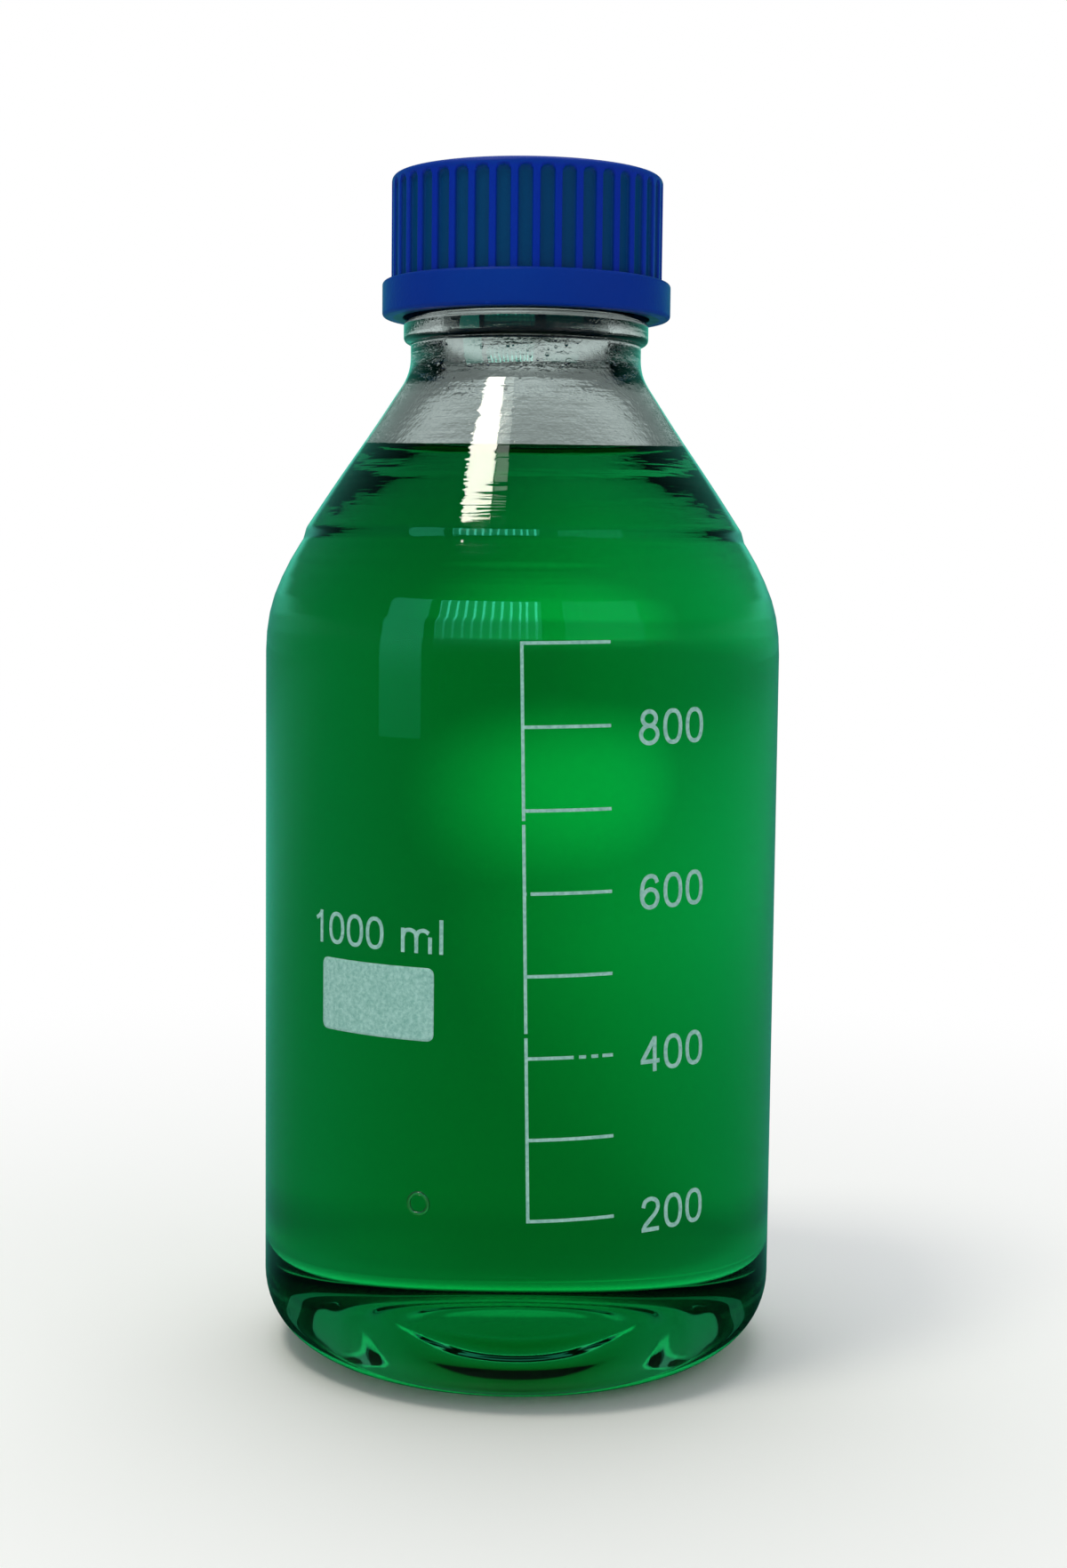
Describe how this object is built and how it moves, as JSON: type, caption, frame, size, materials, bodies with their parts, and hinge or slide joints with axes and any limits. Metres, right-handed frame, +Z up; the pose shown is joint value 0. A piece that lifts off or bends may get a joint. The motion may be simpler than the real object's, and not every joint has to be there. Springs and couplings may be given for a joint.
{
  "type": "round media bottle",
  "caption": "Round borosilicate laboratory media bottle with a screw cap, pouring ring, white graduation and green liquid medium inside.",
  "frame": {"origin": "on the bottle's axis, in the plane that it stands on", "axes": "+Z up the axis to the cap, -Y to the front with the graduation, +X to the reader's right"},
  "size_m": [0.101, 0.1011, 0.2302],
  "materials": {
    "bottle": "polished",
    "medium": "gloss",
    "pouring_ring": "satin",
    "sealing_liner": "matte",
    "screw_cap": "satin",
    "enamel": "satin"
  },
  "bodies": {
    "bottle": {"bottle": "bottle", "medium": "medium", "pouring_ring": "pouring_ring", "graduation_scale": "enamel", "writing_patch": "enamel"},
    "liner": {"sealing_liner": "sealing_liner"},
    "cap": {"screw_cap": "screw_cap"}
  },
  "joints": [
    {"name": "cap_lift", "type": "slide", "parent": "bottle", "child": "liner", "axis": [0, 0, 1], "range_m": [0, 0.032]},
    {"name": "cap_turn", "type": "hinge", "parent": "liner", "child": "cap", "pos_m": [0, 0, 0.2], "axis": [0, 0, 1], "range_deg": [0, 2880]}
  ],
  "couplings": [
    {"joint": "cap_lift", "follows": "cap_turn", "m_per_rad": 0.00063662}
  ]
}
